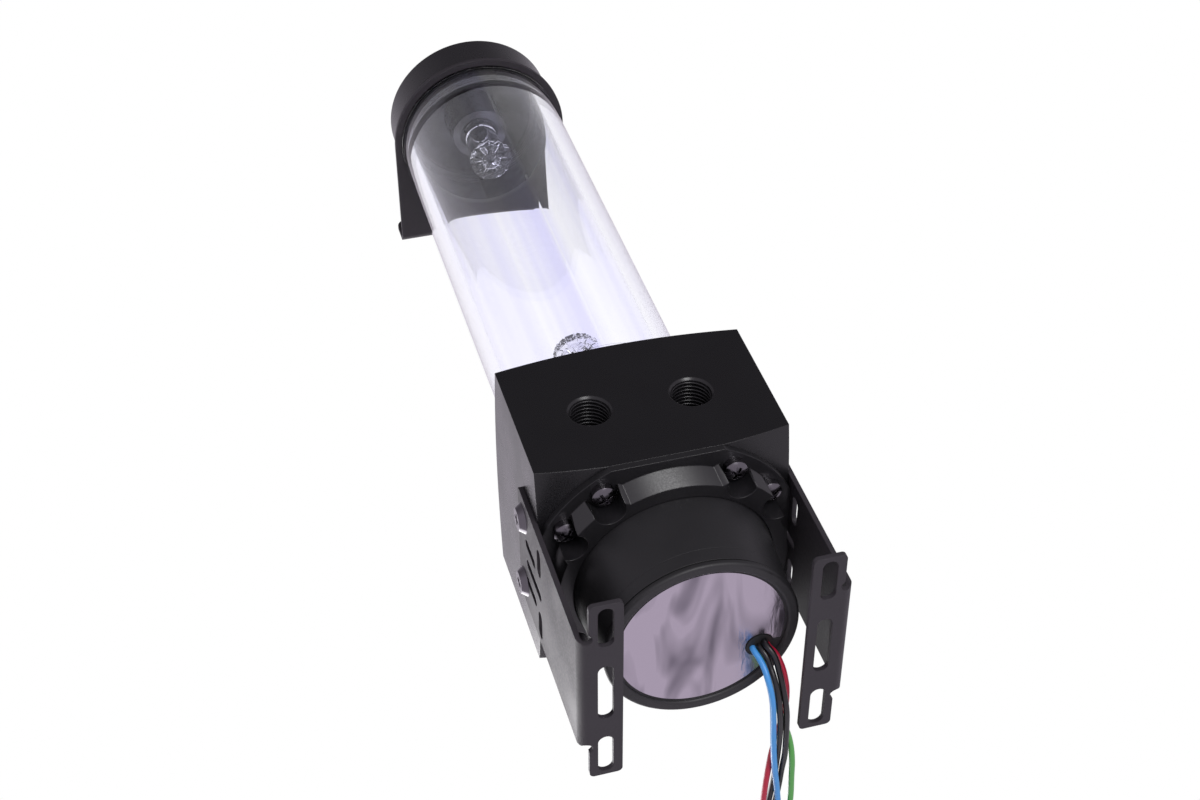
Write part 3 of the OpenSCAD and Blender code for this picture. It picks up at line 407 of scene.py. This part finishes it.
# ---------------------------------------------------------------- Clamp ring, can and bottom cover
# Glass-filled nylon, moulded with a fine spark-eroded texture. The ring's upright wall leans outwards
# towards the block for draft; the can is matt.
SCREW_CIRCLE_R, SCREW_OFF_ANGLE, POCKET_R = 0.036, math.radians(12.5), 0.00475
WALL_INNER_R, FLANGE_Z = 0.033, 0.0453
ring_nylon, tree, shader = new_material("moulded_black_nylon", "#1C1B1E", 0.34, IOR=1.53)
bump = fine_grain(tree, shader, 0.6, 0.03, (0.3, 0.42), 0.3, 0.35)
place = add(tree, "ShaderNodeTexCoord")
split = add(tree, "ShaderNodeSeparateXYZ", Vector=place.outputs["Object"])
angle = add(tree, "ShaderNodeMath", {"operation": "ARCTAN2"}, _0=split.outputs["Y"], _1=split.outputs["X"])
quarter = add(tree, "ShaderNodeMath", {"operation": "FLOORED_MODULO", 1: math.pi / 2}, _0=angle.outputs[0])
fold = add(tree, "ShaderNodeMath", {"operation": "SUBTRACT", 1: math.pi / 4}, _0=quarter.outputs[0])
fold = add(tree, "ShaderNodeMath", {"operation": "ABSOLUTE"}, _0=fold.outputs[0])
radius = add(tree, "ShaderNodeVectorMath", {"operation": "LENGTH"},
             _0=add(tree, "ShaderNodeCombineXYZ", X=split.outputs["X"], Y=split.outputs["Y"]).outputs[0])
off = add(tree, "ShaderNodeMath", {"operation": "SUBTRACT", 1: SCREW_OFF_ANGLE}, _0=fold.outputs[0])
across = add(tree, "ShaderNodeMath", {"operation": "MULTIPLY"}, _0=off.outputs[0], _1=radius.outputs["Value"])
along = add(tree, "ShaderNodeMath", {"operation": "SUBTRACT", 1: SCREW_CIRCLE_R}, _0=radius.outputs["Value"])
from_screw = add(tree, "ShaderNodeVectorMath", {"operation": "LENGTH"},
                 _0=add(tree, "ShaderNodeCombineXYZ", X=across.outputs[0], Y=along.outputs[0]).outputs[0])
clear_of = add(tree, "ShaderNodeMath", {"operation": "GREATER_THAN", 1: POCKET_R},
               _0=from_screw.outputs["Value"])
outer = add(tree, "ShaderNodeMath", {"operation": "GREATER_THAN", 1: WALL_INNER_R},
            _0=radius.outputs["Value"])
facing = add(tree, "ShaderNodeNewGeometry")
slope = add(tree, "ShaderNodeSeparateXYZ", Vector=facing.outputs["Normal"])
upright = add(tree, "ShaderNodeMath", {"operation": "COMPARE", 1: 0.0, 2: 0.2}, _0=slope.outputs["Z"])
low = add(tree, "ShaderNodeMath", {"operation": "LESS_THAN", 1: FLANGE_Z}, _0=split.outputs["Z"])
wall = add(tree, "ShaderNodeMath", {"operation": "MULTIPLY"}, _0=clear_of.outputs[0], _1=outer.outputs[0])
wall = add(tree, "ShaderNodeMath", {"operation": "MULTIPLY"}, _0=wall.outputs[0], _1=upright.outputs[0])
wall = add(tree, "ShaderNodeMath", {"operation": "MULTIPLY"}, _0=wall.outputs[0], _1=low.outputs[0])
lean = add(tree, "ShaderNodeCombineXYZ", {"X": 0.0, "Y": 0.0, "Z": -0.8})
lean = add(tree, "ShaderNodeVectorMath", {"operation": "SCALE"}, _0=lean.outputs[0], Scale=wall.outputs[0])
leaned = add(tree, "ShaderNodeVectorMath", {"operation": "ADD"}, _0=bump.outputs["Normal"],
             _1=lean.outputs[0])
leaned = add(tree, "ShaderNodeVectorMath", {"operation": "NORMALIZE"}, _0=leaned.outputs[0])
tree.links.new(leaned.outputs[0], shader.inputs["Normal"])
dress(ring_nylon, "clamp_ring")
can_nylon, tree, shader = new_material("matt_black_nylon", "#1D1C1F", 0.5, IOR=1.53)
fine_grain(tree, shader, 0.5, 0.03, (0.46, 0.6), 0.25, 0.3)
dress(can_nylon, "pump_can", "bottom_cover")


# ---------------------------------------------------------------- Foil label
# Aluminised film, creased where it was pressed on; light and dark streaks of the tent mirrored in it are
# painted into its colour.
foil, tree, shader = new_material("aluminised_label_film", "#B9B0BC", 0.2, Metallic=1.0)
place = add(tree, "ShaderNodeTexCoord")
stretch = add(tree, "ShaderNodeMapping", {"Rotation": (0, 0, 0.5), "Scale": (1, 3.2, 1)},
              Vector=place.outputs["Object"])
# Painted reflection: a stretched noise darkens and lightens the film's colour in streaks, standing in for the
# tent mirrored in the foil.
painted_reflection_noise = add(tree, "ShaderNodeTexNoise", {"Scale": 24, "Detail": 2, "Distortion": 0.9},
           Vector=stretch.outputs[0])
painted_reflection_tone = add(tree, "ShaderNodeValToRGB", Fac=painted_reflection_noise.outputs["Fac"])
painted_reflection_tone.color_ramp.elements[0].position = 0.33
painted_reflection_tone.color_ramp.elements[0].color = linear("#76707B")
painted_reflection_tone.color_ramp.elements[1].position = 0.55
painted_reflection_tone.color_ramp.elements[1].color = linear("#BFB6C2")
tree.links.new(painted_reflection_tone.outputs["Color"], shader.inputs["Base Color"])
crease = add(tree, "ShaderNodeTexNoise", {"Scale": 90, "Detail": 4, "Distortion": 1.2},
             Vector=stretch.outputs[0])
bump = add(tree, "ShaderNodeBump", {"Strength": 0.22, "Distance": 0.0006}, Height=crease.outputs["Fac"])
tree.links.new(bump.outputs["Normal"], shader.inputs["Normal"])
dress(foil, "foil_label")


# ---------------------------------------------------------------- Screws
# Cross-head screws and the cap's fill plug: turned metal, blacked in a bath and oiled, so it is dark
# with a tight sheen and a very fine grain.
oxide, tree, shader = new_material("black_oxide_steel", "#6A676C", 0.22, Metallic=1.0)
fine_grain(tree, shader, 0.3, 0.01, (0.16, 0.28), 0.12, 0.15)
dress(oxide, "clamp_screws", "foot_screws", "fill_plug")


# ---------------------------------------------------------------- Rubber, plugs and inner parts
# Nitrile seals, nylon plug housings with tinned pins, and the parts that the housings hide.
for name, colour, metallic, ior, grain, nodes in (
    ("black_nitrile_rubber", "#141414", 0, 1.52, (0.4, 0.01, (0.5, 0.65), 0.25),
     ("lower_tube_seal", "upper_tube_seal", "fill_plug_seal", "pump_seal", "lead_grommet")),
    ("moulded_plug_nylon", "#1A1A1B", 0, 1.53, (0.5, 0.02, (0.38, 0.5), 0.25), ("power_plug", "signal_plug")),
    ("tinned_brass", "#C9C8C5", 1, 1.5, (0.2, 0.005, (0.2, 0.32), 0.1), ("power_pins",)),
    ("drawn_stainless_steel", "#B9B9B9", 1, 1.5, (0.3, 0.01, (0.18, 0.3), 0.15), ("separation_cup",)),
    ("polished_ceramic", "#F1EFE6", 0, 1.7, (0.1, 0.002, (0.08, 0.16), 0.05), ("bearing_ball",)),
    ("coated_ferrite_magnet", "#47474A", 0, 1.55, (0.4, 0.02, (0.4, 0.6), 0.25), ("rotor",)),
    ("natural_moulded_plastic", "#D9D2C0", 0, 1.53, (0.5, 0.02, (0.32, 0.48), 0.25), ("impeller",)),
    ("laminated_steel", "#77777A", 1, 1.5, (0.5, 0.02, (0.35, 0.5), 0.25), ("stator_core",)),
    ("enamelled_copper", "#B45A2A", 1, 1.5, (0.4, 0.02, (0.25, 0.4), 0.25), ("stator_coils",)),
    ("green_solder_mask", "#1D5A30", 0, 1.5, (0.4, 0.01, (0.28, 0.42), 0.25), ("circuit_board",)),
):
    finish, tree, shader = new_material(name, colour, grain[2][0], Metallic=metallic)
    if not metallic:
        shader.inputs["IOR"].default_value = ior
    fine_grain(tree, shader, *grain)
    dress(finish, *nodes)
